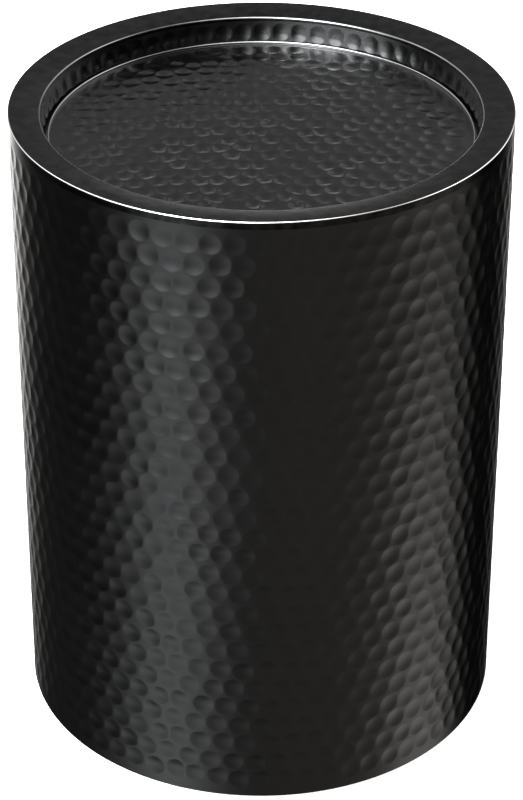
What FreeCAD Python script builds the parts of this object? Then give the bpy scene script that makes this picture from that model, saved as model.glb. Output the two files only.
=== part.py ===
import FreeCAD, Part
import os
import Sketcher

# Drum side table of hammered sheet metal. A tray lifts out of the ring-shaped rim and opens the drum.
# The floor is z = 0, the drum's axis is the Z axis and the welded seam of the drum is at +Y.

# Driving sizes in millimetres, apart from the counts, each with what it measures.
SIZES = (
    ("drum_diameter", 381.0, "outside of the drum and of the rim"),
    ("table_height", 512.0, "floor to the outer edge of the rim"),
    ("shell_thickness", 1.2, "sheet of the drum"),
    ("shell_edge_radius", 0.5, "rounding of the drum's bottom edge"),
    ("floor_gap", 2.0, "floor to the drum's bottom edge"),
    ("weld_gap", 0.2, "fit-up gap of the strap and the base hoop in the drum"),
    ("strap_width", 30.0, "backing strap, around the drum"),
    ("strap_thickness", 1.5, "backing strap"),
    ("strap_end_gap", 4.0, "strap's ends to the base hoop and to the rim"),
    ("rim_width", 24.5, "rim, from its outer to its inner edge"),
    ("rim_fall", 3.0, "drop of the rim's top towards the tray"),
    ("rim_thickness", 3.0, "rim at its inner edge"),
    ("rim_edge_radius", 1.2, "rounding of the rim's top edges"),
    ("collar_height", 20.4, "collar, from the rim to the tray's seat"),
    ("collar_draw", 3.4, "how far the collar closes in from top to foot"),
    ("collar_thickness", 1.2, "sheet of the collar"),
    ("seat_width", 15.0, "seat ring, inwards from the collar's foot"),
    ("seat_thickness", 2.0, "seat ring"),
    ("bracket_count", 6, "brackets under the seat ring"),
    ("bracket_width", 20.0, "bracket, around the drum"),
    ("bracket_thickness", 2.0, "bent strip of a bracket"),
    ("bracket_drop", 30.0, "bracket, down the inside of the drum"),
    ("bracket_bend", 1.5, "inside bend of a bracket"),
    ("bracket_setback", 1.5, "bracket's tip to the seat ring's inner edge"),
    ("bumper_count", 6, "pads under the tray"),
    ("bumper_diameter", 9.0, "pad under the tray"),
    ("bumper_height", 1.5, "pad under the tray"),
    ("bumper_edge_radius", 0.5, "rounding of a pad's top edge"),
    ("tray_gap", 1.2, "tray's edge to the collar's foot"),
    ("tray_thickness", 1.5, "sheet of the tray"),
    ("lip_height", 2.0, "lip above the floor of the tray"),
    ("lip_edge_radius", 0.6, "rounding of the lip's top edges"),
    ("stay_height", 12.0, "locating hoop under the tray"),
    ("stay_thickness", 2.0, "locating hoop under the tray"),
    ("stay_gap", 1.5, "locating hoop to the seat ring"),
    ("hoop_height", 24.0, "base hoop, up the inside of the drum"),
    ("hoop_thickness", 2.0, "angle section of the base hoop"),
    ("flange_margin", 6.0, "flange of the base hoop past the nuts"),
    ("plate_thickness", 1.5, "base plate"),
    ("plate_gap", 1.0, "edge of the base plate to the drum"),
    ("foot_count", 4, "feet, with as many base screws between them"),
    ("foot_diameter", 28.0, "foot at its top"),
    ("foot_draw", 1.0, "how far a foot's side closes in towards the floor"),
    ("foot_gap", 2.0, "foot to the inside of the drum"),
    ("foot_web", 2.5, "rubber between washer and base plate"),
    ("recess_gap", 1.0, "washer to the wall of the foot's recess"),
    ("head_clear", 1.5, "floor to the head of a foot screw"),
    ("screw_diameter", 5.0, "screw shank"),
    ("head_diameter", 9.5, "screw head"),
    ("head_height", 3.0, "screw head"),
    ("head_bevel", 0.8, "bevel round a screw head"),
    ("thread_end", 1.5, "screw past its nut"),
    ("thread_gap", 0.05, "nut to screw shank, at the radius"),
    ("hole_gap", 0.25, "screw hole to screw shank, at the radius"),
    ("nut_width", 8.0, "nut across its flats"),
    ("nut_height", 4.0, "nut"),
    ("washer_diameter", 10.0, "washer in a foot's recess"),
    ("washer_thickness", 1.0, "washer in a foot's recess"),
)

# Radii and levels that several pieces share, as expressions on the sheet.
SHELL_OUTER = "(Sizes.drum_diameter / 2)"
SHELL_INNER = f"({SHELL_OUTER} - Sizes.shell_thickness)"
WELDED_OUTER = f"({SHELL_INNER} - Sizes.weld_gap)"
RIM_INNER = f"({SHELL_OUTER} - Sizes.rim_width)"
RIM_INNER_TOP = "(Sizes.table_height - Sizes.rim_fall)"
RIM_UNDERSIDE = f"({RIM_INNER_TOP} - Sizes.rim_thickness)"
COLLAR_FOOT = f"({RIM_INNER} - Sizes.collar_draw)"
SEAT_TOP = f"({RIM_UNDERSIDE} - Sizes.collar_height)"
SEAT_UNDERSIDE = f"({SEAT_TOP} - Sizes.seat_thickness)"
SEAT_INNER = f"({COLLAR_FOOT} - Sizes.seat_width)"
TRAY_RADIUS = f"({COLLAR_FOOT} - Sizes.tray_gap)"
TRAY_UNDERSIDE = f"({SEAT_TOP} + Sizes.bumper_height)"
TRAY_FLOOR = f"({TRAY_UNDERSIDE} + Sizes.tray_thickness)"
LIP_TOP = f"({TRAY_FLOOR} + Sizes.lip_height)"
STAY_RADIUS = f"({SEAT_INNER} - Sizes.stay_gap)"
WASHER_LEVEL = "(Sizes.head_clear + Sizes.head_height)"
RECESS_TOP = f"({WASHER_LEVEL} + Sizes.washer_thickness)"
PLATE_UNDERSIDE = f"({RECESS_TOP} + Sizes.foot_web)"
PLATE_TOP = f"({PLATE_UNDERSIDE} + Sizes.plate_thickness)"
FLANGE_TOP = f"({PLATE_TOP} + Sizes.hoop_thickness)"
HOOP_TOP = f"({PLATE_TOP} + Sizes.hoop_height)"
HOOP_INNER = f"({WELDED_OUTER} - Sizes.hoop_thickness)"
SCREW_CIRCLE = f"({SHELL_INNER} - Sizes.foot_gap - Sizes.foot_diameter / 2)"
SCREW_END = f"({FLANGE_TOP} + Sizes.nut_height + Sizes.thread_end)"
NUT_CORNER = "(Sizes.nut_width / sqrt(3))"
FLANGE_INNER = f"({SCREW_CIRCLE} - {NUT_CORNER} - Sizes.flange_margin)"
SCREW_HOLE = "(Sizes.screw_diameter / 2 + Sizes.hole_gap)"
FOOT_STEP = "(360 / Sizes.foot_count)"

MATCH = 0.001  # largest difference, in millimetres, at which two measures are the same
TWO_EDGES = 0.4  # largest rounding, as a share of the wall, where both edges of it are rounded
ONE_EDGE = 0.8  # the same where only one edge of the wall is rounded

doc = FreeCAD.newDocument("drum_side_table")
sheet = doc.addObject("Spreadsheet::Sheet", "Sizes")
for row, (name, value, meaning) in enumerate(SIZES, start=1):
    sheet.set(f"A{row}", name)
    sheet.set(f"B{row}", str(value))
    sheet.setAlias(f"B{row}", name)
    sheet.set(f"C{row}", meaning)
doc.recompute()

pieces = []


def number(expression):
    """Value of an expression on the sheet."""
    return float(sheet.evalExpression(expression))


def new_piece(label):
    """Empty body of one sub-part."""
    body = doc.addObject("PartDesign::Body", label)
    body.Label = label
    pieces.append(body)
    return body


def origin_feature(body, role):
    """Plane or axis of the body's own origin."""
    return next(feature for feature in body.Origin.OriginFeatures if feature.Role == role)


def new_sketch(body, name, role, level=None):
    """Sketch on an origin plane, lifted to a level where one is given."""
    sketch = body.newObject("Sketcher::SketchObject", name)
    sketch.AttachmentSupport = [(origin_feature(body, role), "")]
    sketch.MapMode = "FlatFace"
    if level:
        sketch.setExpression("AttachmentOffset.Base.z", level)
    return sketch


def pin_point(sketch, geometry, point, across, up):
    """Fix a point of the sketch at expressions measured from the sketch's origin; None is zero."""
    for kind, expression, axis in (("DistanceX", across, -2), ("DistanceY", up, -1)):
        if expression is None:
            sketch.addConstraint(Sketcher.Constraint("PointOnObject", geometry, point, axis))
            continue
        place = Sketcher.Constraint(kind, -1, 1, geometry, point, number(expression))
        index = sketch.addConstraint(place)
        sketch.setExpression(f"Constraints[{index}]", expression)


def draw_outline(sketch, corners):
    """Closed outline of straight lines through (across, up) pairs of expressions."""
    places = [FreeCAD.Vector(number(x) if x else 0, number(y) if y else 0, 0) for x, y in corners]
    count = len(corners)
    for index in range(count):
        sketch.addGeometry(Part.LineSegment(places[index], places[(index + 1) % count]))
    for index in range(count):
        sketch.addConstraint(Sketcher.Constraint("Coincident", index, 2, (index + 1) % count, 1))
    for index, (across, up) in enumerate(corners):
        pin_point(sketch, index, 1, across, up)


def draw_circle(sketch, radius, across=None):
    """Circle on the sketch's horizontal axis."""
    centre = FreeCAD.Vector(number(across) if across else 0, 0, 0)
    index = sketch.addGeometry(Part.Circle(centre, FreeCAD.Vector(0, 0, 1), number(radius)))
    pin_point(sketch, index, 3, across, None)
    size = sketch.addConstraint(Sketcher.Constraint("Radius", index, number(radius)))
    sketch.setExpression(f"Constraints[{size}]", radius)


def draw_hexagon(sketch, corner_radius, across):
    """Hexagon round a point of the sketch's horizontal axis, with two corners on that axis."""
    corners = []
    for step in range(6):
        along = f"{across} + {corner_radius} * cos({60 * step})"
        beside = None if step % 3 == 0 else f"{corner_radius} * sin({60 * step})"
        corners.append((along, beside))
    draw_outline(sketch, corners)


def turn(body, corners, role="XZ_Plane", axis="V_Axis", angle=None):
    """Solid of revolution of an outline, a full turn or an angle shared by both sides of the plane."""
    sketch = new_sketch(body, f"{body.Name}_section", role)
    draw_outline(sketch, corners)
    doc.recompute()
    revolution = body.newObject("PartDesign::Revolution", f"{body.Name}_turn")
    revolution.Profile = sketch
    revolution.ReferenceAxis = (sketch, [axis])
    revolution.Angle = 360
    if angle:
        revolution.Midplane = True
        revolution.setExpression("Angle", angle)
    doc.recompute()
    return revolution


def pad(body, name, sketch, length, both_ways=False):
    """Extrusion of a sketch, upwards or shared by both sides of its plane."""
    doc.recompute()
    feature = body.newObject("PartDesign::Pad", name)
    feature.Profile = sketch
    feature.Midplane = both_ways
    feature.setExpression("Length", length)
    doc.recompute()
    return feature


def round_circles(body, radius, circles):
    """Fillet of the body's circular edges at (radius, level) pairs of expressions."""
    wanted = [(number(around), number(level)) for around, level in circles]
    base = body.Tip
    names = []
    for index, edge in enumerate(base.Shape.Edges, start=1):
        if not isinstance(edge.Curve, Part.Circle):
            continue
        for around, level in wanted:
            same_radius = abs(edge.Curve.Radius - around) < MATCH
            if same_radius and abs(edge.Curve.Center.z - level) < MATCH:
                names.append(f"Edge{index}")
    fillet = body.newObject("PartDesign::Fillet", f"{body.Name}_rounding")
    fillet.Base = (base, names)
    fillet.setExpression("Radius", radius)
    doc.recompute()


def repeat_around(body, features, count):
    """Even polar pattern of the features about the drum's axis."""
    pattern = body.newObject("PartDesign::PolarPattern", f"{body.Name}_ring")
    pattern.Originals = features
    pattern.Axis = (origin_feature(body, "Z_Axis"), [""])
    pattern.Angle = 360
    pattern.setExpression("Occurrences", count)
    body.Tip = pattern
    doc.recompute()


def drill_ring(body, level):
    """Screw holes on the fastener circle, one for each foot and one for each screw between feet."""
    sketch = new_sketch(body, f"{body.Name}_hole", "XY_Plane", level)
    draw_circle(sketch, SCREW_HOLE, SCREW_CIRCLE)
    doc.recompute()
    whole = body.Shape.Volume
    hole = body.newObject("PartDesign::Pocket", f"{body.Name}_drilling")
    hole.Profile = sketch
    hole.Type = "ThroughAll"
    hole.Midplane = True
    doc.recompute()
    repeat_around(body, [hole], "2 * Sizes.foot_count")
    if body.Shape.Volume > whole - MATCH:
        raise RuntimeError(f"{body.Label}: the screw holes cut nothing")


def turn_to(body, angle):
    """Turn a finished body about the drum's axis."""
    body.Placement = FreeCAD.Placement(FreeCAD.Vector(), FreeCAD.Rotation(FreeCAD.Vector(0, 0, 1), 0))
    body.setExpression("Placement.Rotation.Angle", angle)


def place_around(body, radius, angle, level=None):
    """Set a finished body on a circle about the drum's axis."""
    body.setExpression("Placement.Base.x", f"{radius} * cos({angle})")
    body.setExpression("Placement.Base.y", f"{radius} * sin({angle})")
    if level:
        body.setExpression("Placement.Base.z", level)


def ring_section(inner, outer, low, high):
    """Four corners of a plain ring's section."""
    return [(inner, low), (outer, low), (outer, high), (inner, high)]


def make_shell():
    body = new_piece("drum_shell")
    turn(body, ring_section(SHELL_INNER, SHELL_OUTER, "Sizes.floor_gap", RIM_UNDERSIDE))
    edge_radius = f"min(Sizes.shell_edge_radius; {TWO_EDGES} * Sizes.shell_thickness)"
    round_circles(body, edge_radius, [(SHELL_OUTER, "Sizes.floor_gap"), (SHELL_INNER, "Sizes.floor_gap")])


def make_seam_strap():
    body = new_piece("seam_strap")
    inner = f"({WELDED_OUTER} - Sizes.strap_thickness)"
    low = f"({HOOP_TOP} + Sizes.strap_end_gap)"
    high = f"({RIM_UNDERSIDE} - Sizes.strap_end_gap)"
    sweep = f"Sizes.strap_width / {WELDED_OUTER} * 180 / pi"
    turn(body, ring_section(inner, WELDED_OUTER, low, high), role="YZ_Plane", angle=sweep)


def make_rim():
    body = new_piece("top_rim")
    corners = [
        (RIM_INNER, RIM_UNDERSIDE),
        (SHELL_OUTER, RIM_UNDERSIDE),
        (SHELL_OUTER, "Sizes.table_height"),
        (RIM_INNER, RIM_INNER_TOP),
    ]
    turn(body, corners)
    edge_radius = f"min(Sizes.rim_edge_radius; {ONE_EDGE} * Sizes.rim_thickness)"
    round_circles(body, edge_radius, [(SHELL_OUTER, "Sizes.table_height"), (RIM_INNER, RIM_INNER_TOP)])


def make_collar():
    body = new_piece("tray_collar")
    corners = [
        (COLLAR_FOOT, SEAT_TOP),
        (f"({COLLAR_FOOT} + Sizes.collar_thickness)", SEAT_TOP),
        (f"({RIM_INNER} + Sizes.collar_thickness)", RIM_UNDERSIDE),
        (RIM_INNER, RIM_UNDERSIDE),
    ]
    turn(body, corners)


def make_seat_ring():
    body = new_piece("seat_ring")
    outer = f"({COLLAR_FOOT} + Sizes.collar_thickness)"
    turn(body, ring_section(SEAT_INNER, outer, SEAT_UNDERSIDE, SEAT_TOP))


def make_seat_brackets():
    tip = f"({SEAT_INNER} + Sizes.bracket_setback)"
    back = f"sqrt(({SHELL_INNER}) ^ 2 - (Sizes.bracket_width / 2) ^ 2)"
    face = f"({back} - Sizes.bracket_thickness)"
    under = f"({SEAT_UNDERSIDE} - Sizes.bracket_thickness)"
    foot = f"({SEAT_UNDERSIDE} - Sizes.bracket_drop)"
    bends = (
        (back, SEAT_UNDERSIDE, "Sizes.bracket_bend + Sizes.bracket_thickness"),
        (face, under, "Sizes.bracket_bend"),
    )
    corners = [
        (tip, under), (face, under), (face, foot),
        (back, foot), (back, SEAT_UNDERSIDE), (tip, SEAT_UNDERSIDE),
    ]
    for index in range(round(number("Sizes.bracket_count"))):
        body = new_piece(f"seat_bracket_{index + 1}")
        sketch = new_sketch(body, f"{body.Name}_section", "XZ_Plane")
        draw_outline(sketch, corners)
        pad(body, f"{body.Name}_strip", sketch, "Sizes.bracket_width", both_ways=True)
        for across, up, radius in bends:
            bend_edge(body, across, up, radius)
        turn_to(body, f"{index} * 360 / Sizes.bracket_count")


def bend_edge(body, across, up, radius):
    """Fillet of the edge that crosses a bracket's width at a point of its section."""
    base = body.Tip
    place = (number(across), number(up))
    names = []
    for index, edge in enumerate(base.Shape.Edges, start=1):
        ends = [(vertex.X, vertex.Z) for vertex in edge.Vertexes]
        if all(abs(x - place[0]) < MATCH and abs(z - place[1]) < MATCH for x, z in ends):
            names.append(f"Edge{index}")
    fillet = body.newObject("PartDesign::Fillet", f"{body.Name}_bend")
    fillet.Base = (base, names)
    fillet.setExpression("Radius", radius)
    doc.recompute()


def make_tray_bumpers():
    middle = f"(({SEAT_INNER} + {TRAY_RADIUS}) / 2)"
    radius = "(Sizes.bumper_diameter / 2)"
    corners = [(None, None), (radius, None), (radius, "Sizes.bumper_height"), (None, "Sizes.bumper_height")]
    for index in range(round(number("Sizes.bumper_count"))):
        body = new_piece(f"tray_bumper_{index + 1}")
        turn(body, corners)
        edge_radius = f"min(Sizes.bumper_edge_radius; {ONE_EDGE} * Sizes.bumper_height)"
        round_circles(body, edge_radius, [(radius, "Sizes.bumper_height")])
        place_around(body, middle, f"({index} + 0.5) * 360 / Sizes.bumper_count", SEAT_TOP)


def make_tray():
    body = new_piece("tray_pan")
    lip_inner = f"({TRAY_RADIUS} - Sizes.tray_thickness)"
    corners = [
        (None, TRAY_UNDERSIDE),
        (TRAY_RADIUS, TRAY_UNDERSIDE),
        (TRAY_RADIUS, LIP_TOP),
        (lip_inner, LIP_TOP),
        (lip_inner, TRAY_FLOOR),
        (None, TRAY_FLOOR),
    ]
    turn(body, corners)
    edge_radius = f"min(Sizes.lip_edge_radius; {TWO_EDGES} * Sizes.tray_thickness)"
    round_circles(body, edge_radius, [(TRAY_RADIUS, LIP_TOP), (lip_inner, LIP_TOP)])


def make_tray_stay():
    body = new_piece("tray_locating_hoop")
    inner = f"({STAY_RADIUS} - Sizes.stay_thickness)"
    low = f"({TRAY_UNDERSIDE} - Sizes.stay_height)"
    turn(body, ring_section(inner, STAY_RADIUS, low, TRAY_UNDERSIDE))


def make_base_hoop():
    body = new_piece("base_hoop")
    corners = [
        (FLANGE_INNER, PLATE_TOP),
        (WELDED_OUTER, PLATE_TOP),
        (WELDED_OUTER, HOOP_TOP),
        (HOOP_INNER, HOOP_TOP),
        (HOOP_INNER, FLANGE_TOP),
        (FLANGE_INNER, FLANGE_TOP),
    ]
    turn(body, corners)
    drill_ring(body, FLANGE_TOP)


def make_base_plate():
    body = new_piece("base_plate")
    sketch = new_sketch(body, "base_plate_outline", "XY_Plane", PLATE_UNDERSIDE)
    draw_circle(sketch, f"({SHELL_INNER} - Sizes.plate_gap)")
    pad(body, "base_plate_disc", sketch, "Sizes.plate_thickness")
    drill_ring(body, PLATE_TOP)


def make_screws(label, head_low, angle):
    """Pan-head screws on the fastener circle, each turned about its own axis."""
    body = new_piece(label)
    shank = f"({SCREW_CIRCLE} + Sizes.screw_diameter / 2)"
    head = f"({SCREW_CIRCLE} + Sizes.head_diameter / 2)"
    head_high = f"({head_low} + Sizes.head_height)"
    bevel = f"min(Sizes.head_bevel; {ONE_EDGE} * Sizes.head_height)"
    corners = [
        (SCREW_CIRCLE, head_low),
        (f"({head} - {bevel})", head_low),
        (head, f"({head_low} + {bevel})"),
        (head, head_high),
        (shank, head_high),
        (shank, SCREW_END),
        (SCREW_CIRCLE, SCREW_END),
    ]
    turned = turn(body, corners, axis=f"Edge{len(corners)}")
    repeat_around(body, [turned], "Sizes.foot_count")
    turn_to(body, angle)


def make_nuts(label, angle):
    body = new_piece(label)
    sketch = new_sketch(body, f"{label}_outline", "XY_Plane", FLANGE_TOP)
    draw_hexagon(sketch, NUT_CORNER, SCREW_CIRCLE)
    draw_circle(sketch, "(Sizes.screw_diameter / 2 + Sizes.thread_gap)", SCREW_CIRCLE)
    block = pad(body, f"{label}_block", sketch, "Sizes.nut_height")
    repeat_around(body, [block], "Sizes.foot_count")
    turn_to(body, angle)


def make_foot_washers():
    body = new_piece("foot_washers")
    sketch = new_sketch(body, "foot_washers_outline", "XY_Plane", WASHER_LEVEL)
    draw_circle(sketch, "(Sizes.washer_diameter / 2)", SCREW_CIRCLE)
    draw_circle(sketch, SCREW_HOLE, SCREW_CIRCLE)
    ring = pad(body, "foot_washers_blank", sketch, "Sizes.washer_thickness")
    repeat_around(body, [ring], "Sizes.foot_count")
    turn_to(body, f"{FOOT_STEP} / 2")


def make_feet():
    recess = "(Sizes.washer_diameter / 2 + Sizes.recess_gap)"
    top = "(Sizes.foot_diameter / 2)"
    corners = [
        (recess, None),
        (f"({top} - Sizes.foot_draw)", None),
        (top, PLATE_UNDERSIDE),
        (SCREW_HOLE, PLATE_UNDERSIDE),
        (SCREW_HOLE, RECESS_TOP),
        (recess, RECESS_TOP),
    ]
    for index in range(round(number("Sizes.foot_count"))):
        body = new_piece(f"foot_{index + 1}")
        turn(body, corners)
        place_around(body, SCREW_CIRCLE, f"({index} + 0.5) * {FOOT_STEP}")


def check_document():
    """Stop if any object failed or any sub-part has no sound shape."""
    doc.recompute()
    for item in doc.Objects:
        if "Invalid" in item.State or "Error" in item.State:
            raise RuntimeError(f"{item.Label} failed: {item.State}")
    for body in pieces:
        if body.Shape.isNull() or not body.Shape.isValid() or not body.Shape.Solids:
            raise RuntimeError(f"{body.Label} has no sound shape")


make_shell()
make_seam_strap()
make_rim()
make_collar()
make_seat_ring()
make_seat_brackets()
make_tray_bumpers()
make_tray()
make_tray_stay()
make_base_hoop()
make_base_plate()
make_screws("base_screws", f"({PLATE_UNDERSIDE} - Sizes.head_height)", "0")
make_nuts("base_nuts", "0")
make_feet()
make_foot_washers()
make_screws("foot_screws", "Sizes.head_clear", f"{FOOT_STEP} / 2")
make_nuts("foot_nuts", f"{FOOT_STEP} / 2")
check_document()

os.makedirs("parts", exist_ok=True)
for piece in pieces:
    piece.Shape.exportStep(f"parts/{piece.Label}.step")
    box = piece.Shape.optimalBoundingBox()
    print(f"{piece.Label}: {len(piece.Shape.Solids)} solid(s), {piece.Shape.Volume:.0f} mm3, "
          f"z {box.ZMin:.2f} to {box.ZMax:.2f}, across {box.XLength:.2f} by {box.YLength:.2f}")
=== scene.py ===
import math
import random
import bpy
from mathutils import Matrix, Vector
from mathutils.geometry import delaunay_2d_cdt
from mathutils.kdtree import KDTree


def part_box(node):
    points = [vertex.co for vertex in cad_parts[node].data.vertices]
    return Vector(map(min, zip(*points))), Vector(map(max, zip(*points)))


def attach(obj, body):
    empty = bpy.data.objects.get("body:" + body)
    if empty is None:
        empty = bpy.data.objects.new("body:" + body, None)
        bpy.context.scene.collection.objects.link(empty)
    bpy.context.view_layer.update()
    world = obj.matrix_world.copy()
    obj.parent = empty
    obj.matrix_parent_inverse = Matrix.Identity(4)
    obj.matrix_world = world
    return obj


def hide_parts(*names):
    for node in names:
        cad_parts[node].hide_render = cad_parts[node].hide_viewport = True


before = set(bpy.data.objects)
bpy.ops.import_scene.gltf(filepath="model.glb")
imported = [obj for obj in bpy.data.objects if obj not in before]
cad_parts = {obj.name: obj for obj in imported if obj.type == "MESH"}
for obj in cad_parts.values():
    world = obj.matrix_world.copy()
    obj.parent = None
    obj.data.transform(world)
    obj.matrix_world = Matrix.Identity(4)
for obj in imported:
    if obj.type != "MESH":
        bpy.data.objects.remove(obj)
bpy.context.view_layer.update()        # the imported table: metres, floor at z = 0, front towards -Y
print("frame loaded:", len(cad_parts), "nodes")

scene = bpy.context.scene
scene.view_settings.view_transform = "Standard"
fullTurn = 2 * math.pi
nothing = 1e-9           # a smaller length or slant counts as none


# a socket of a node tree, so that node maths reads as an expression
class Wire:
    def __init__(self, tree, socket=None):
        self.tree = tree
        self.socket = socket

    # any node: its kind, its settings, then the values or links of its sockets
    def node(self, kind, settings=None, sockets=None, out=0):
        made = self.tree.nodes.new(kind)
        for key, value in (settings or {}).items():
            setattr(made, key, value)
        for key, value in (sockets or {}).items():
            target = findSocket(made.inputs, key)
            if isinstance(value, Wire):
                self.tree.links.new(value.socket, target)
            else:
                target.default_value = value
        return Wire(self.tree, findSocket(made.outputs, out)) if made.outputs else None

    def maths(self, operation, *terms):
        return self.node("ShaderNodeMath", {"operation": operation}, dict(enumerate(terms)))

    def clamped(self):
        return self.node("ShaderNodeClamp", None, {"Value": self})

    def __add__(self, other):
        return self.maths("ADD", self, other)

    def __radd__(self, other):
        return self.maths("ADD", other, self)

    def __sub__(self, other):
        return self.maths("SUBTRACT", self, other)

    def __rsub__(self, other):
        return self.maths("SUBTRACT", other, self)

    def __mul__(self, other):
        return self.maths("MULTIPLY", self, other)

    def __rmul__(self, other):
        return self.maths("MULTIPLY", other, self)

    def __truediv__(self, other):
        return self.maths("DIVIDE", self, other)

    def __rtruediv__(self, other):
        return self.maths("DIVIDE", other, self)

    def __pow__(self, other):
        return self.maths("POWER", self, other)


def findSocket(sockets, key):
    if isinstance(key, int):
        return sockets[key]
    usable = [socket for socket in sockets if socket.enabled]
    return next(socket for socket in usable if key in (socket.identifier, socket.name))


def tone(level, warmth=0.0):
    return (level * (1 + warmth), level, level * (1 - warmth), 1.0)


def mixColour(wire, factor, first, second):
    return wire.node(
        "ShaderNodeMix",
        {"data_type": "RGBA"},
        {"Factor_Float": factor, "A_Color": first, "B_Color": second},
        "Result_Color",
    )


noiseMiddle = 0.5


def noise(wire, place, scale, detail=2.0):
    return wire.node("ShaderNodeTexNoise", None, {"Vector": place, "Scale": scale, "Detail": detail}, "Fac")


def ownMask(wire, label):
    return wire.node("ShaderNodeAttribute", {"attribute_name": label}, out="Fac")


def newFinish(name):
    material = bpy.data.materials.new(name)
    material.use_nodes = True
    material.node_tree.nodes.clear()
    return material, Wire(material.node_tree)


def closeFinish(wire, sockets):
    shader = wire.node("ShaderNodeBsdfPrincipled", None, sockets)
    wire.node("ShaderNodeOutputMaterial", None, {"Surface": shader})


# blackened steel with a satin lacquer: a little paler on the ridges, worn through on the rubbed edges,
# where the pale steel is also a painted highlight along the edge lines
lacquer = {
    "dark": tone(0.045),
    "pale": tone(0.048),
    "ridgeFade": 1.6,         # how soon the paler ridge ends inside a mark
    "roughness": 0.2,
    # pale steel on worn edges, also a painted highlight along the edge lines
    "bareSteelAndHighlight": tone(0.62),
    "edgeRoughness": 0.2,
    "detail": 3.0,
    "cloudScale": 14.0,       # slow change in the coat, per metre
    "cloudRoughness": 0.10,
    "grainScale": 1100.0,     # fine orange peel
    "grainRoughness": 0.06,
    "grainDepth": 0.00003,
    "bump": 0.35,
}
# the same on the turned ring, smoother and softly mottled
turnedLacquer = {
    "dark": tone(0.011),
    "pale": tone(0.032),
    "roughness": 0.16,
    "mottleScale": 120.0,
    "mottleDetail": 1.0,
    "mottleStart": 0.3,       # the noise below this is all dark
    "mottleGain": 2.5,
    "mottleRoughness": 0.1,
    "mottleHeight": 6.0,      # beside the grain's
}


def blackLacquer(name, mottled=None):
    material, wire = newFinish(name)
    place = wire.node("ShaderNodeTexCoord", out="Object")
    # the worn-edge mask, also where a highlight is painted along the edges
    rubAndHighlight = ownMask(wire, "rubAndHighlight")
    cloud = noise(wire, place, lacquer["cloudScale"], lacquer["detail"])
    grain = noise(wire, place, lacquer["grainScale"], lacquer["detail"])
    look = mottled or lacquer
    roughness = look["roughness"] + (cloud - noiseMiddle) * lacquer["cloudRoughness"]
    roughness = roughness + (grain - noiseMiddle) * lacquer["grainRoughness"]
    if mottled:
        mottle = noise(wire, place, look["mottleScale"], look["mottleDetail"])
        ridge = ((mottle - look["mottleStart"]) * look["mottleGain"]).clamped()
        roughness = roughness + (mottle - noiseMiddle) * look["mottleRoughness"]
        height = grain + mottle * look["mottleHeight"]
    else:
        ridge = ((1 - ownMask(wire, "dent") * look["ridgeFade"]).clamped() * cloud).clamped()
        height = grain
    colour = mixColour(wire, ridge, look["dark"], look["pale"])
    closeFinish(wire, {
        "Base Color": mixColour(wire, rubAndHighlight, colour, lacquer["bareSteelAndHighlight"]),
        "Metallic": 1.0,
        "Roughness": roughness + rubAndHighlight * (lacquer["edgeRoughness"] - look["roughness"]),
        "Normal": wire.node("ShaderNodeBump", None, {
            "Height": height, "Strength": lacquer["bump"], "Distance": lacquer["grainDepth"],
        }),
    })
    return material


beatenBlack = blackLacquer("beaten_black_steel")
turnedBlack = blackLacquer("turned_black_steel", turnedLacquer)


# a coat, rubber or plating in two tones broken up by noise, over a fine grain
def pairedFinish(name, look):
    material, wire = newFinish(name)
    place = wire.node("ShaderNodeTexCoord", out="Object")
    patches = noise(wire, place, look["patchScale"], look["patchDetail"])
    grain = noise(wire, place, look["grainScale"])
    closeFinish(wire, {
        "Base Color": mixColour(wire, patches, look["dark"], look["light"]),
        "Metallic": look["metallic"],
        "Roughness": look["roughness"] + (patches - noiseMiddle) * look["roughnessSpread"],
        "Normal": wire.node("ShaderNodeBump", None, {
            "Height": grain, "Strength": look["bump"], "Distance": look["grainDepth"],
        }),
    })
    return material


innerCoat = {
    "dark": tone(0.012, 0.04), "light": tone(0.030, 0.03), "metallic": 0.0,
    "roughness": 0.62, "roughnessSpread": 0.2, "patchScale": 30.0, "patchDetail": 4.0,
    "grainScale": 1500.0, "bump": 0.4, "grainDepth": 0.00005,
}
bumperRubber = {
    "dark": tone(0.09), "light": tone(0.15), "metallic": 0.0,
    "roughness": 0.55, "roughnessSpread": 0.15, "patchScale": 120.0, "patchDetail": 4.0,
    "grainScale": 2500.0, "bump": 0.2, "grainDepth": 0.00003,
}
footRubber = {
    "dark": tone(0.010), "light": tone(0.028, 0.02), "metallic": 0.0,
    "roughness": 0.75, "roughnessSpread": 0.2, "patchScale": 90.0, "patchDetail": 4.0,
    "grainScale": 1800.0, "bump": 0.5, "grainDepth": 0.00006,
}
zincSteel = {
    "dark": tone(0.42, 0.03), "light": tone(0.66, 0.02), "metallic": 1.0,
    "roughness": 0.34, "roughnessSpread": 0.2, "patchScale": 260.0, "patchDetail": 4.0,
    "grainScale": 3000.0, "bump": 0.15, "grainDepth": 0.00002,
}
print("finishes ready")


# faces from one ring of points to the next, which has as many
def joinRings(faces, here, ahead):
    for step in range(len(here)):
        after = (step + 1) % len(here)
        faces.append((here[step], here[after], ahead[after], ahead[step]))


def arcPoints(centre, radius, fromAngle, toAngle, steps):
    arc = []
    for step in range(steps + 1):
        angle = math.radians(fromAngle + (toAngle - fromAngle) * step / steps)
        arc.append((centre[0] + radius * math.cos(angle), centre[1] + radius * math.sin(angle)))
    return arc


def evenSteps(start, end, count):
    return [start + (end - start) * step / count for step in range(count + 1)]


sharpAngle = math.radians(40)     # an edge bent more than this isn't smoothed


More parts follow.
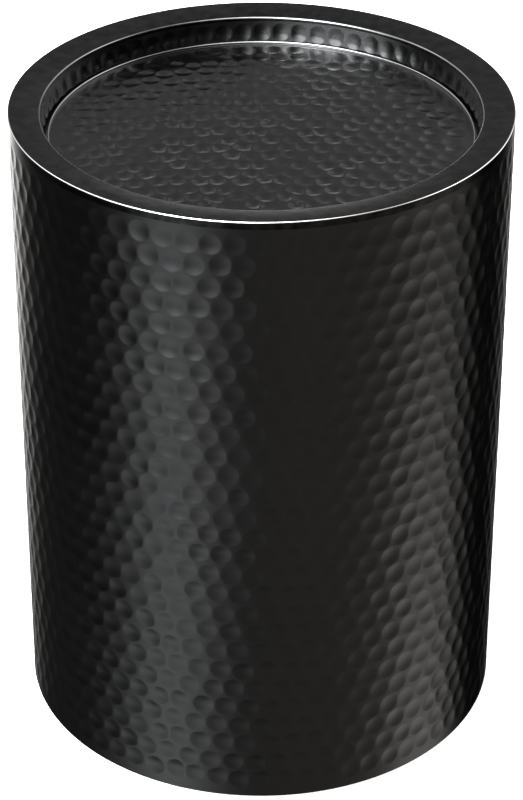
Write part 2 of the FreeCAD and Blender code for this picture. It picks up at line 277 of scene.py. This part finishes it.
def newPiece(name, points, faces, masks):
    mesh = bpy.data.meshes.new(name)
    mesh.from_pydata(points, [], faces)
    mesh.polygons.foreach_set("use_smooth", [True] * len(mesh.polygons))
    mesh.set_sharp_from_angle(angle=sharpAngle)
    for label, values in masks.items():
        mesh.attributes.new(label, "FLOAT", "POINT").data.foreach_set("value", values)
    piece = bpy.data.objects.new(name, mesh)
    scene.collection.objects.link(piece)
    return piece


def settle(piece, body, node):
    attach(piece, body)
    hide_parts(node)


# the hammer, as a tree with named sizes: a point sinks by its reach, its share of the way from the middle
# to the edge of the mark that it is in, and the back of the sheet, where front is -1, swells as much
def hammerTree():
    tree = bpy.data.node_groups.new("Hammer", "GeometryNodeTree")
    tree.interface.new_socket("Geometry", in_out="OUTPUT", socket_type="NodeSocketGeometry")
    labels = {
        "Geometry": "Geometry", "Mark Depth": "Float", "Bowl Power": "Float", "Uneven": "Float",
        "Seed": "Int", "Finish": "Material",
    }
    for label, kind in labels.items():
        tree.interface.new_socket(label, in_out="INPUT", socket_type="NodeSocket" + kind)
    entry = tree.nodes.new("NodeGroupInput")
    wire = Wire(tree)
    size = {label: Wire(tree, entry.outputs[label]) for label in labels}

    def own(label):
        return wire.node(
            "GeometryNodeInputNamedAttribute", {"data_type": "FLOAT"}, {"Name": label}, "Attribute")

    chance = wire.node("FunctionNodeRandomValue", {"data_type": "FLOAT"}, {
        "Min": -1.0, "Max": 1.0, "ID": own("blow"), "Seed": size["Seed"],
    }, "Value")
    bowl = (1 - own("reach") ** 2) ** size["Bowl Power"] * (1 + chance * size["Uneven"])
    marked = wire.node("GeometryNodeStoreNamedAttribute", {"data_type": "FLOAT", "domain": "POINT"}, {
        "Geometry": size["Geometry"], "Name": "dent", "Value": bowl,
    })
    sink = wire.node("ShaderNodeVectorMath", {"operation": "SCALE"}, {
        0: wire.node("GeometryNodeInputNormal"), "Scale": -1 * bowl * own("front") * size["Mark Depth"],
    })
    beaten = wire.node("GeometryNodeSetPosition", None, {"Geometry": marked, "Offset": sink})
    whole = wire.node("GeometryNodeRealizeInstances", None, {"Geometry": beaten})
    coated = wire.node("GeometryNodeSetMaterial", None, {"Geometry": whole, "Material": size["Finish"]})
    wire.node("NodeGroupOutput", None, {"Geometry": coated})
    return tree


hammerNodes = hammerTree()
print("hammer ready")


# the modifier's result becomes the piece's own mesh
def hammer(piece, values):
    modifier = piece.modifiers.new("Hammer", "NODES")
    modifier.node_group = hammerNodes
    for item in hammerNodes.interface.items_tree:
        if item.in_out == "INPUT" and item.name in values:
            modifier[item.identifier] = values[item.name]
    graph = bpy.context.evaluated_depsgraph_get()
    plain = piece.data
    piece.data = bpy.data.meshes.new_from_object(
        piece.evaluated_get(graph), preserve_all_data_layers=True, depsgraph=graph)
    piece.modifiers.clear()
    bpy.data.meshes.remove(plain)
    piece.data.name = piece.name
    for label in ("reach", "blow", "front"):
        piece.data.attributes.remove(piece.data.attributes[label])


# blows in rows round a sheet, laid out flat as (along, up); a spare row at each end closes the cells of
# the others
def layRows(size, length):
    pick = random.Random(size["seed"])
    pitch = length / size["marksAround"]
    blows, shift = [], 0.0
    for row in range(-1, size["markRows"] + 1):
        shift += pick.uniform(*size["rowShift"])
        for spot in range(size["marksAround"]):
            aside, up = (pick.uniform(-1, 1) * size["wander"] for way in range(2))
            blows.append({
                "along": (spot + shift + aside) * pitch % length,
                "up": size["lowestRow"] + (row + up) * size["rowPitch"],
                "radius": size["markRadius"] * (1 + pick.uniform(-1, 1) * size["unevenWidth"]),
                "real": 0 <= row < size["markRows"],
            })
    return blows


# blows over a round floor, in offset rows that sag to the sides; their mirror images past the edge close
# the cells
def layField(size, edge):
    pick = random.Random(size["seed"])
    pitch, rowPitch = size["markPitch"], size["rowPitch"]
    reach = math.ceil(edge / rowPitch) + 2
    blows, mirrored = [], []
    for row in range(-reach, 2 * reach):      # more rows behind, as they sag towards the front
        for spot in range(-reach, reach + 1):
            aside, up, wide = (pick.uniform(-1, 1) for way in range(3))
            x = (spot + row % 2 / 2 + aside * size["wander"]) * pitch
            y = (row + up * size["wander"]) * rowPitch - size["rowSag"] * x * x / edge
            radius = size["markRadius"] * (1 + wide * size["unevenWidth"])
            away = math.hypot(x, y)
            if away < edge - size["edgeGap"]:
                blows.append({"along": x, "up": y, "radius": radius, "real": True})
            if edge - 2 * pitch < away < edge - size["edgeGap"]:
                past = (2 * edge - away) / away
                mirrored.append({"along": x * past, "up": y * past, "real": False})
    return blows + mirrored


# the point as far from all three
def middleOf(first, second, third):
    ax, ay = second[0] - first[0], second[1] - first[1]
    bx, by = third[0] - first[0], third[1] - first[1]
    twice = 2 * (ax * by - ay * bx)
    a, b = ax * ax + ay * ay, bx * bx + by * by
    return first[0] + (by * a - ay * b) / twice, first[1] + (ax * b - bx * a) / twice


seamOverlap = 0.1        # of the length, repeated past each end of a sheet that closes on itself


# the cell of each blow, as corners in order round it: each belongs to three blows, or to more where they
# all but meet
def cellsOf(blows, length, merge):
    spots, owners = [], []
    for number, blow in enumerate(blows):
        for turn in (-length, 0.0, length) if length else (0.0,):
            along = blow["along"] + turn
            if not length or -seamOverlap < along / length < 1 + seamOverlap:
                spots.append((along, blow["up"]))
                owners.append((number, turn))
    cells = [[] for blow in blows]
    for three in delaunay_2d_cdt([Vector(spot) for spot in spots], [], [], 0, nothing)[2]:
        key = frozenset(owners[spot][0] for spot in three)
        x, y = middleOf(*(spots[spot] for spot in three))
        for spot in three:
            number, turn = owners[spot]
            if turn == 0.0:
                angle = math.atan2(y - blows[number]["up"], x - blows[number]["along"])
                cells[number].append((angle, key, (x, y)))
    same = {}

    def known(key):
        while key in same:
            key = same[key]
        return key

    for cell in cells:
        cell.sort()
        for (angle, key, corner), (nextAngle, nextKey, nextCorner) in zip(cell, cell[1:] + cell[:1]):
            if math.dist(corner, nextCorner) < merge and known(key) != known(nextKey):
                same[known(nextKey)] = known(key)
    return [{known(key): corner for angle, key, corner in cell} for cell in cells]


# how far the cell's edge is from the blow, in one direction
def edgeReach(corners, angle):
    towardsX, towardsY = math.cos(angle), math.sin(angle)
    reach = math.inf
    for (px, py), (qx, qy) in zip(corners, corners[1:] + corners[:1]):
        ex, ey = qx - px, qy - py
        facing = towardsX * ey - towardsY * ex
        if facing > nothing:
            reach = min(reach, (px * ey - py * ex) / facing)
    return reach


# triangles between two rings of (angle, point), each side joined to the nearest point of the other ring
def zipRings(faces, inner, outer):
    begin = inner[0][0]
    lean = [(angle - begin + math.pi) % fullTurn - math.pi for angle, point in outer]
    first = min(range(len(outer)), key=lambda step: abs(lean[step]))
    innerAngles = [angle - begin for angle, point in inner] + [fullTurn]
    outerAngles = []
    for step in range(len(outer) + 1):
        angle = lean[(first + step) % len(outer)]
        outerAngles.append(angle + fullTurn if outerAngles and angle <= outerAngles[-1] else angle)
    i = j = 0
    while i < len(inner) or j < len(outer):
        here = inner[i % len(inner)][1]
        across = outer[(first + j) % len(outer)][1]
        innerFirst = j == len(outer) or (
            i < len(inner) and sum(innerAngles[i:i + 2]) <= sum(outerAngles[j:j + 2]))
        if innerFirst:
            i += 1
            faces.append((here, across, inner[i % len(inner)][1]))
        else:
            j += 1
            faces.append((here, across, outer[(first + j) % len(outer)][1]))


def pointsOf(ring):
    return [point for angle, point in ring]


# a beaten skin, where each mark is a bowl that runs out into level ground: place puts a spot (along, up)
# of the sheet in the room, and a length says that the sheet closes on itself
class BeatenSkin:
    mergeShare = 0.12        # corners of a cell that are nearer than this are one, in mark radii
    splitShare = 0.5         # a cell's side that is longer gets a point in its middle
    nudge = 1e-4             # along the sheet, to see which way it faces

    def __init__(self, size, blows, place, length=None):
        self.points, self.spots, self.slopes = [], [], []
        # the last mask is worn-through steel on edges, which is also a painted highlight
        self.masks = {"reach": [], "blow": [], "front": [], "rubAndHighlight": []}
        self.front, self.plain = [], []
        self.size, self.blows, self.place, self.length = size, blows, place, length
        self.corners, self.edgeUses, self.bottoms = {}, {}, {}
        for number, cell in enumerate(cellsOf(blows, length, self.mergeShare * size["markRadius"])):
            if blows[number]["real"]:
                self.addBowl(number, cell)
        border = set()
        for edge, uses in self.edgeUses.items():
            border.update([*edge, edge] if uses == 1 else [])
        self.border = sorted((self.angleOf(self.corners[key]), self.corners[key])
                             for key in border if key in self.corners)

    # round the axis, from nothing to a full turn
    def angleOf(self, point):
        along, up = self.spots[point]
        return (along / self.length * fullTurn if self.length else math.atan2(up, along)) % fullTurn

    def add(self, along, up, at=None, reach=1.0, blow=0, front=1.0, rubAndHighlight=0.0, slope=(0.0, 0.0)):
        self.points.append(at or self.place(along, up))
        self.spots.append((along, up))
        self.slopes.append((blow, *slope))
        for label, value in zip(self.masks, (reach, blow, front, rubAndHighlight)):
            self.masks[label].append(value)
        return len(self.points) - 1

    # a ring of (angle, point), on the sheet at the height up or wherever its radius and height say
    def addRing(self, count, up=0.0, radius=None, height=None, rubAndHighlight=0.0):
        ring = []
        for step in range(count):
            angle = fullTurn * step / count
            x, y = math.cos(angle), math.sin(angle)
            spot = (step / count * self.length, up) if self.length else (radius * x, radius * y)
            at = None if height is None else (radius * x, radius * y, height)
            ring.append((angle, self.add(*spot, at, rubAndHighlight=rubAndHighlight)))
        return ring

    def addCorner(self, key, spot):
        if key not in self.corners:
            self.corners[key] = self.add(*spot)
        return self.corners[key]

    def addBowl(self, number, cell):
        blow = self.blows[number]
        along, up = blow["along"], blow["up"]
        outline = [(x - along, y - up) for x, y in cell.values()]
        level, corners = [], list(cell.items())
        for (key, corner), (nextKey, nextCorner) in zip(corners, corners[1:] + corners[:1]):
            edge = frozenset((key, nextKey))
            self.edgeUses[edge] = self.edgeUses.get(edge, 0) + 1
            level.append((math.atan2(corner[1] - up, corner[0] - along), self.addCorner(key, corner)))
            if math.dist(corner, nextCorner) > self.splitShare * self.size["markRadius"]:
                x, y = ((a + b) / 2 for a, b in zip(corner, nextCorner))
                level.append((math.atan2(y - up, x - along), self.addCorner(edge, (x, y))))
        power, outer = self.size["bowlPower"], level
        for share, count in self.size["bowlRings"]:
            ring = []
            for step in range(count):
                angle = fullTurn * (step / count - 1 / 2)
                reach = min(blow["radius"], self.size["clearance"] * edgeReach(outline, angle))
                steep = 2 * power * share * (1 - share ** 2) ** (power - 1) / reach
                x, y = math.cos(angle), math.sin(angle)
                ring.append((angle, self.add(
                    along + x * reach * share, up + y * reach * share,
                    reach=share, blow=number, slope=(x * steep, y * steep))))
            zipRings(self.front, ring, outer)
            outer = ring
        self.bottoms[number] = self.add(along, up, reach=0.0, blow=number)
        for (angle, first), (nextAngle, second) in zip(outer, outer[1:] + outer[:1]):
            self.front.append((self.bottoms[number], first, second))

    # joins the marks' border, below and above the height up, to the plain rings there
    def joinBorder(self, up, lower, upper):
        zipRings(self.front, [spot for spot in self.border if self.spots[spot[1]][1] < up], lower)
        zipRings(self.front, upper, [spot for spot in self.border if self.spots[spot[1]][1] > up])

    def joinPlain(self, rings):
        for here, ahead in zip(rings, rings[1:]):
            joinRings(self.plain, pointsOf(here), pointsOf(ahead))

    # the back of the sheet swells where the blows came through; a point is given as its place on the front
    def swell(self, rings, fade=lambda spot: 1.0):
        known = KDTree(len(self.blows))
        for number, blow in enumerate(self.blows):
            known.insert(self.place(blow["along"], blow["up"]), number)
        known.balance()
        for point in (point for ring in rings for point in pointsOf(ring)):
            spot, number, gap = known.find(self.place(*self.spots[point]))
            if self.blows[number]["real"] and gap < self.blows[number]["radius"]:
                self.masks["reach"][point] = gap / self.blows[number]["radius"]
                self.masks["blow"][point] = number
                self.masks["front"][point] = -fade(self.spots[point])

    # the true facing of every point, with its bowl's slope
    def facings(self, dent):
        result = []
        for (along, up), (number, x, y) in zip(self.spots, self.slopes):
            here = Vector(self.place(along, up))
            ahead = (Vector(self.place(along + self.nudge, up)) - here).normalized()
            above = (Vector(self.place(along, up + self.nudge)) - here).normalized()
            facing = ahead.cross(above)
            if x or y:
                depth = self.size["markDepth"] * dent[self.bottoms[number]].value
                facing -= ahead * (x * depth) + above * (y * depth)
            result.append(facing.normalized())
        return result

    def finish(self, name, body, node):
        piece = newPiece(name, self.points, self.front + self.plain, self.masks)
        hammer(piece, {
            "Mark Depth": self.size["markDepth"], "Bowl Power": self.size["bowlPower"],
            "Uneven": self.size["unevenDepth"], "Seed": self.size["seed"], "Finish": beatenBlack,
        })
        facing = self.facings(piece.data.attributes["dent"].data)
        normals = [facing[point] for face in self.front for point in face]
        normals += [(0, 0, 0)] * sum(len(face) for face in self.plain)   # these keep the usual ones
        piece.data.normals_split_custom_set(normals)
        settle(piece, body, node)


# the drum's wall: one rolled sheet, beaten from outside in rows
drumWall = {
    "sheet": 0.0012,
    "columns": 204,           # round the plain edges and the back of the sheet
    "innerRows": 56,
    "edgeRound": 0.0004,
    "outerArcSteps": 3,
    "innerArcSteps": 2,
    "markRows": 28,
    "marksAround": 68,
    "lowestRow": 0.0192,
    "rowPitch": 0.01755,
    "rowShift": (0.42, 0.72),  # from row to row, in spacings
    "markRadius": 0.0092,
    "markDepth": 0.0006,
    "bowlRings": ((1.0, 16), (0.85, 14), (0.5, 7)),   # how far out each is, and its points
    "bowlPower": 1.35,
    "clearance": 0.98,        # of the way to the cell's edge, for a mark that would pass it
    "wander": 0.08,
    "unevenWidth": 0.06,
    "unevenDepth": 0.25,
    "seed": 5,
}


def makeDrumWall(size):
    low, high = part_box("drum_shell")
    radius, around, edge = high.x, size["columns"], size["edgeRound"]
    inner, length = radius - size["sheet"], fullTurn * radius

    def place(along, up):
        return radius * math.cos(along / radius), radius * math.sin(along / radius), up

    def turn(outline):
        return [skin.addRing(around, z, r, z) for r, z in outline]

    skin = BeatenSkin(size, layRows(size, length), place, length)
    bottom = turn(arcPoints((radius - edge, low.z + edge), edge, -90, 0, size["outerArcSteps"]))
    top = skin.addRing(around, high.z)
    skin.joinBorder((low.z + high.z) / 2, bottom[-1], top)
    back = turn([(inner, z) for z in evenSteps(high.z, low.z + edge, size["innerRows"])[:-1]])
    skin.swell(back[1:])
    back += turn(arcPoints((inner + edge, low.z + edge), edge, 180, 270, size["innerArcSteps"]))
    skin.joinPlain([top] + back + bottom)
    skin.finish("drum_wall", "drum", "drum_shell")


makeDrumWall(drumWall)
print("drum wall beaten")

# the flat ring on top: falls a little inwards, with rounded edges that the lacquer has worn thin on; the
# pale steel there is also a painted highlight along the edge lines
topRim = {
    "width": 0.0245,
    "fall": 0.003,
    "edgeRound": 0.0009,
    "innerRound": 0.0015,
    "columns": 480,
    "sideSteps": 3,
    "arcSteps": 10,
    "outerRubAndHighlight": 1.0,          # how far the steel is worn through on each edge, which also paints a highlight along the edge line
    "innerRubAndHighlight": 0.22,
}


# an outline of (radius, height, worn-through steel and painted highlight), turned about the axis: up the
# outside, over the top, down the inside
def turnOutline(name, outline, around):
    points, faces, rubAndHighlight, rings = [], [], [], []
    for radius, height, rubAndHighlightHere in outline:
        rings.append(range(len(points), len(points) + around))
        for step in range(around):
            angle = fullTurn * step / around
            points.append((radius * math.cos(angle), radius * math.sin(angle), height))
        rubAndHighlight += [rubAndHighlightHere] * around
    for here, ahead in zip(rings, rings[1:] + rings[:1]):
        joinRings(faces, here, ahead)
    return newPiece(name, points, faces, {"rubAndHighlight": rubAndHighlight})


def makeTopRim(size):
    low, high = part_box("top_rim")
    outer, edge, steps = high.x, size["edgeRound"], size["arcSteps"]
    inner, innerEdge = outer - size["width"], size["innerRound"]
    slope = math.atan2(size["fall"], size["width"])
    lean = 90 + math.degrees(slope)
    outerArc = arcPoints((outer - edge, high.z - edge), edge, 0, lean, steps)
    topRadius, topHeight = outerArc[-1]
    innerTop = topHeight - (topRadius - inner - innerEdge) * math.tan(slope) - innerEdge / math.cos(slope)
    innerArc = arcPoints((inner + innerEdge, innerTop), innerEdge, lean, 180, steps)
    outline = [(outer, z, 0.0) for z in evenSteps(low.z, high.z - edge, size["sideSteps"])[:-1]]
    # pale steel in the middle of each edge's curve: wear, and a painted highlight
    for arc, rubAndHighlight in ((outerArc, size["outerRubAndHighlight"]), (innerArc, size["innerRubAndHighlight"])):
        for step, (r, z) in enumerate(arc):
            outline.append((r, z, rubAndHighlight * math.sin(math.pi * step / steps)))
    outline.append((inner, low.z, 0.0))
    rim = turnOutline("top_ring", outline, size["columns"])
    rim.data.materials.append(turnedBlack)
    settle(rim, "drum", "top_rim")


makeTopRim(topRim)
print("top ring turned")

# the collar inside the ring: draws in towards its foot, with one row of blows from the inside
trayCollar = {
    "sheet": 0.0012,
    "columns": 272,
    "markRows": 1,
    "marksAround": 68,
    "rowHeight": 0.0112,      # of the blows above the collar's foot
    "rowPitch": 0.0172,
    "rowShift": (0.0, 0.0),
    "markRadius": 0.0078,
    "markDepth": 0.00105,
    "bowlRings": ((1.0, 28), (0.8, 24), (0.45, 12)),
    "bowlPower": 1.5,
    "clearance": 0.95,
    "wander": 0.03,
    "unevenWidth": 0.06,
    "unevenDepth": 0.12,
    "seed": 21,
}


def makeCollar(size):
    low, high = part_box("tray_collar")
    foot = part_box("seat_ring")[1].x - size["sheet"]
    top, around = high.x - size["sheet"], size["columns"]
    middle = (foot + top) / 2

    def place(along, up):      # runs the other way round, as the face looks inwards
        radius = foot + (top - foot) * (up - low.z) / (high.z - low.z)
        return radius * math.cos(along / middle), -radius * math.sin(along / middle), up

    size = {**size, "lowestRow": low.z + size["rowHeight"]}
    length = fullTurn * middle
    skin = BeatenSkin(size, layRows(size, length), place, length)
    upper, lower = skin.addRing(around, high.z), skin.addRing(around, low.z)
    skin.joinBorder(size["lowestRow"], lower, upper)
    back = []
    for height, radius in ((high.z, top), (low.z, foot)):
        ring = skin.addRing(around, height, radius + size["sheet"], height)
        back.append([ring[0]] + ring[:0:-1])      # the other way round too
    skin.joinPlain([upper] + back + [lower])
    skin.finish("tray_collar_face", "drum", "tray_collar")


makeCollar(trayCollar)
print("collar beaten")

# the lift-out tray: a beaten disc with a low rounded lip
tray = {
    "sheet": 0.0015,
    "edgeRound": 0.0006,
    "cornerRound": 0.0005,    # where the floor turns up into the lip
    "arcSteps": 5,
    "sectors": 6,             # points that each ring of the underside has more than the one inside it
    "underRings": 64,
    "markPitch": 0.0155,
    "rowPitch": 0.0134,
    "rowSag": 0.12,
    "edgeGap": 0.005,
    "markRadius": 0.0085,
    "markDepth": 0.0008,
    "bowlRings": ((1.0, 22), (0.85, 20), (0.5, 11)),
    "bowlPower": 1.35,
    "clearance": 0.98,
    "wander": 0.22,
    "unevenWidth": 0.12,
    "unevenDepth": 0.4,
    "seed": 33,
    # the lip's worn-through steel is also a painted highlight along its edge line
    "lipRubAndHighlight": 0.45,
    "rubAndHighlightFull": 60,            # degrees round the lip, from outside, to where it is rubbed most, and where its painted highlight is strongest
    "flatUnder": (0.139, 0.143),   # the underside is left flat from here out, where it rests
}


# triangles from one ring of a disc to the next one in, which has one point fewer in each sector
def joinDisc(faces, outer, inner, sectors):
    sector = len(outer) // sectors
    for turn in range(sectors):
        for step in range(sector):
            first = outer[turn * sector + step]
            second = outer[(turn * sector + step + 1) % len(outer)]
            near = inner[(turn * (sector - 1) + step) % len(inner)]
            faces.append((near, second, first))
            if step < sector - 1:
                faces.append((inner[(turn * (sector - 1) + step + 1) % len(inner)], second, near))


def makeTray(size):
    low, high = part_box("tray_pan")
    outer, edge, corner = high.x, size["edgeRound"], size["cornerRound"]
    lip, floor = outer - size["sheet"], low.z + size["sheet"]
    steps, sectors, rings = size["arcSteps"], size["sectors"], size["underRings"]
    flatEdge = lip - corner
    flatFrom, flatTo = size["flatUnder"]

    def place(along, up):
        return along, up, floor

    def fade(spot):
        return min(1.0, max(0.0, (flatTo - math.hypot(*spot)) / (flatTo - flatFrom)))

    skin = BeatenSkin(size, layField(size, flatEdge - 2 * corner), place)
    profile = arcPoints((outer - edge, low.z + edge), edge, -90, 0, steps)
    bareAndHighlight = [0.0] * len(profile)
    # worn-through steel round the lip, also a painted highlight, strongest on its inner side
    for centre, start in ((outer - edge, 0), (lip + edge, 90)):
        profile += arcPoints((centre, high.z - edge), edge, start, start + 90, steps)
        bareAndHighlight += [size["lipRubAndHighlight"] * min(1.0, angle / size["rubAndHighlightFull"])
                 for angle in evenSteps(start, start + 90, steps)]
    profile += arcPoints((flatEdge, floor + corner), corner, 360, 270, steps)
    bareAndHighlight += [0.0] * (steps + 1)
    turned = [skin.addRing(sectors * rings, radius=r, height=z, rubAndHighlight=rubAndHighlight)
              for (r, z), rubAndHighlight in zip(profile, bareAndHighlight)]
    zipRings(skin.front, skin.border, turned[-1])
    skin.joinPlain(turned)

    under = [turned[0]]
    for left in range(rings - 1, -1, -1):
        radius = (outer - edge) * left / rings
        under.append(skin.addRing(max(1, sectors * left), radius=radius, height=low.z))
    for here, ahead in zip(under, under[1:]):
        joinDisc(skin.plain, pointsOf(here), pointsOf(ahead), sectors)
    skin.swell(under[1:], fade)
    skin.finish("beaten_tray", "tray", "tray_pan")


makeTray(tray)
print("tray beaten")

# the pieces kept from the frame get their finishes
keptFinishes = {
    "inner_black_coat": (innerCoat, (
        "seam_strap", "seat_", "tray_locating_hoop", "base_hoop", "base_plate",
    )),
    "bumper_rubber": (bumperRubber, ("tray_bumper_",)),
    "foot_rubber": (footRubber, ("foot_1", "foot_2", "foot_3", "foot_4")),
    "zinc_steel": (zincSteel, (
        "base_screws", "base_nuts", "foot_washers", "foot_screws", "foot_nuts",
    )),
}
for finishName, (look, starts) in keptFinishes.items():
    finish = pairedFinish(finishName, look)
    for nodeName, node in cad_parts.items():
        if nodeName.startswith(starts):
            node.data.materials.clear()
            node.data.materials.append(finish)
print("kept pieces finished")

# camera: in front, looking down on the table
view = {
    "back": 1.8998,
    "height": 1.4158,
    "lookDown": 31.511,       # degrees
    "roll": 0.0022,
    "lens": 125.5,
    "sensor": 36.0,
    "shift": 0.0007,
}
eye = bpy.data.cameras.new("eye")
eye.lens = view["lens"]
eye.sensor_width = view["sensor"]
eye.shift_x = view["shift"]
camera = bpy.data.objects.new("eye", eye)
camera.location = (0, -view["back"], view["height"])
camera.rotation_mode = "ZXY"      # the roll comes first
camera.rotation_euler = (math.radians(90 - view["lookDown"]), 0, view["roll"])
scene.collection.objects.link(camera)
scene.camera = camera

# the studio: soft patches of light all round, aimed by azimuth from the front towards the right and by
# elevation, with their spread each way, all in degrees
softLights = {
    "key": {"aim": (-38, 28), "spread": (26, 12), "strength": 12.0, "warmth": -0.02},
    "key_high": {"aim": (-36, 50), "spread": (22, 11), "strength": 80.0, "warmth": -0.02},
    "key_under_left": {"aim": (-53, 8), "spread": (16, 10), "strength": 12.0, "warmth": -0.02},
    "key_under_right": {"aim": (-24, 8), "spread": (16, 10), "strength": 9.0, "warmth": -0.02},
    "key_level": {"aim": (-38, -9), "spread": (17, 8), "strength": 6.5, "warmth": -0.02},
    "key_low": {"aim": (-40, -21), "spread": (15, 8), "strength": 1.05, "warmth": -0.02},
    "key_foot_left": {"aim": (-46, -33), "spread": (17, 8), "strength": 0.72, "warmth": -0.02},
    "key_foot_right": {"aim": (-30, -33), "spread": (18, 8), "strength": 0.36, "warmth": -0.02},
    "key_deep": {"aim": (-49, -41), "spread": (27, 6.5), "strength": 1.3, "warmth": -0.02},
    "key_floor": {"aim": (-42, -60), "spread": (25, 10), "strength": 0.25, "warmth": -0.02},
    "right_band_near": {"aim": (80, -47), "spread": (12, 18), "strength": 1.25, "warmth": 0.03},
    "right_band_far": {"aim": (97, -47), "spread": (12, 18), "strength": 1.25, "warmth": 0.03},
    "right_band_top": {"aim": (88, -13), "spread": (14, 9), "strength": 0.5, "warmth": 0.03},
    "right_band_low": {"aim": (114, -60), "spread": (12, 14), "strength": 0.3, "warmth": 0.02},
    "right_fill": {"aim": (62, -40), "spread": (20, 24), "strength": 0.34, "warmth": 0.06},
    "front_fill": {"aim": (20, -30), "spread": (35, 40), "strength": 0.31, "warmth": 0.06},
    "left_fill": {"aim": (-105, -30), "spread": (35, 40), "strength": 0.06, "warmth": 0.03},
    "left_edge": {"aim": (-169, -12), "spread": (19, 13.5), "strength": 7.0, "warmth": 0.02},
    "right_edge": {"aim": (166, -12), "spread": (16, 16), "strength": 0.3, "warmth": 0.02},
    "horizon": {"aim": (180, 0), "spread": (60, 8), "strength": 0.65, "warmth": 0.0},
    "backdrop": {"aim": (180, 14), "spread": (60, 8), "strength": 0.06, "warmth": 0.0},
    "back_sky": {"aim": (180, 27), "spread": (60, 9), "strength": 0.25, "warmth": 0.0},
    "back_high": {"aim": (180, 39), "spread": (60, 8), "strength": 0.36, "warmth": 0.0},
    "near_left": {"aim": (-165, 27), "spread": (8, 10), "strength": 0.28, "warmth": 0.0},
    "near_right": {"aim": (165, 27), "spread": (8, 10), "strength": 0.65, "warmth": 0.0},
    "back_left": {"aim": (-132, 20), "spread": (22, 20), "strength": 1.5, "warmth": 0.0},
    "back_right": {"aim": (132, 20), "spread": (22, 20), "strength": 2.2, "warmth": 0.0},
    "side_left": {"aim": (-112, 42), "spread": (25, 11), "strength": 6.0, "warmth": 0.0},
    "side_right": {"aim": (112, 42), "spread": (25, 11), "strength": 6.0, "warmth": 0.0},
    "high_front": {"aim": (0, 70), "spread": (60, 16), "strength": 5.0, "warmth": 0.0},
    "overhead": {"aim": (0, 90), "spread": (200, 12), "strength": 20.0, "warmth": 0.0},
    "high_back": {"aim": (180, 70), "spread": (60, 16), "strength": 2.0, "warmth": 0.0},
}


# the camera itself sees only the pale background
def paintRoom(lights, background):
    world = bpy.data.worlds.new("studio")
    world.use_nodes = True
    world.node_tree.nodes.clear()
    room = Wire(world.node_tree)
    towards = room.node("ShaderNodeTexCoord", out="Generated")
    x, y, z = (room.node("ShaderNodeSeparateXYZ", None, {0: towards}, axis) for axis in "XYZ")
    level = room.maths("SQRT", x * x + y * y)
    rise = room.maths("ARCSINE", z)
    glow, warmth = 0.0, 0.0
    for light in lights.values():
        azimuth, elevation = (math.radians(angle) for angle in light["aim"])
        wide, high = (math.radians(angle) for angle in light["spread"])
        facing = (x * math.sin(azimuth) - y * math.cos(azimuth)) / level
        lift = (rise - elevation) / high
        patch = room.maths("EXPONENT", (facing - 1) * (2 / wide ** 2) - lift * lift) * light["strength"]
        glow, warmth = glow + patch, warmth + patch * light["warmth"]
    colour = room.node("ShaderNodeCombineXYZ", None, {0: glow + warmth, 1: glow, 2: glow - warmth})
    soft = room.node("ShaderNodeBackground", None, {"Color": colour, "Strength": 1.0})
    pale = room.node("ShaderNodeBackground", None, {"Color": background, "Strength": 1.0})
    seen = room.node("ShaderNodeLightPath", out="Is Camera Ray")
    room.node("ShaderNodeOutputWorld", None, {
        "Surface": room.node("ShaderNodeMixShader", None, {0: seen, 1: soft, 2: pale}),
    })
    scene.world = world


paintRoom(softLights, tone(1.0))

# pale floor, kept out of the lacquer's reflections
paleFloor = {"reach": 4.0, "paper": tone(0.5), "roughness": 0.9, "glow": tone(1.0), "glowStrength": 0.75}
floorCorners = [(x * paleFloor["reach"], y * paleFloor["reach"], 0)
                for x, y in ((-1, -1), (1, -1), (1, 1), (-1, 1))]
floor = newPiece("pale_floor", floorCorners, [(0, 1, 2, 3)], {})
paper, paperWire = newFinish("pale_paper")
closeFinish(paperWire, {
    "Base Color": paleFloor["paper"], "Roughness": paleFloor["roughness"],
    "Emission Color": paleFloor["glow"], "Emission Strength": paleFloor["glowStrength"],
})
floor.data.materials.append(paper)
floor.visible_glossy = False
floor.visible_diffuse = False
floor.visible_shadow = False      # so that the low patches of light reach the drum
print("camera, lights and floor set")
